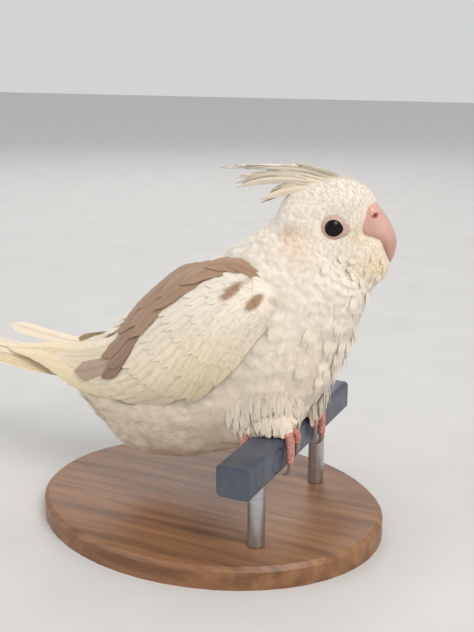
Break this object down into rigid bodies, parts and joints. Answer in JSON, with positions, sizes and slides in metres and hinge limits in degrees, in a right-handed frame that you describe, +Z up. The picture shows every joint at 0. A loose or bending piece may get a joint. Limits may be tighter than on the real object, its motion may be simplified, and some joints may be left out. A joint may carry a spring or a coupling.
{
  "type": "perched cockatiel figure on display stand",
  "caption": "Life-size still model of a cream-white cockatiel gripping a short metal bar on a plain round display stand.",
  "frame": {"origin": "centre of the stand base's underside, on the floor", "axes": "+X the way the bird's body faces, +Y its left side, +Z up"},
  "size_m": [0.2691, 0.104, 0.1342],
  "materials": {
    "head_plumage": "soft plumage",
    "neck_plumage": "soft plumage",
    "body_plumage": "soft plumage",
    "wing_plumage": "smooth feathers with a brown band",
    "tail_plumage": "smooth feathers",
    "bill_horn": "satin horn",
    "eye_gloss": "wet gloss",
    "foot_skin": "scaled skin",
    "claw_horn": "satin horn",
    "bar_paint": "satin dark slate paint",
    "base_wood": "oiled",
    "rod_steel": "brushed"
  },
  "bodies": {
    "root": {"head": "head_plumage", "neck": "neck_plumage", "torso": "body_plumage", "wing_left": "wing_plumage", "wing_right": "wing_plumage", "tail": "tail_plumage", "bill_upper": "bill_horn", "bill_lower": "bill_horn", "eye_left": "eye_gloss", "eye_right": "eye_gloss", "leg_left": "foot_skin", "leg_right": "foot_skin", "claw_left_outer_front": "claw_horn", "claw_left_inner_front": "claw_horn", "claw_left_outer_back": "claw_horn", "claw_left_inner_back": "claw_horn", "claw_right_outer_front": "claw_horn", "claw_right_inner_front": "claw_horn", "claw_right_outer_back": "claw_horn", "claw_right_inner_back": "claw_horn", "perch_bar": "bar_paint", "stand_base": "base_wood", "stand_rod_left": "rod_steel", "stand_rod_right": "rod_steel"}
  },
  "joints": []
}
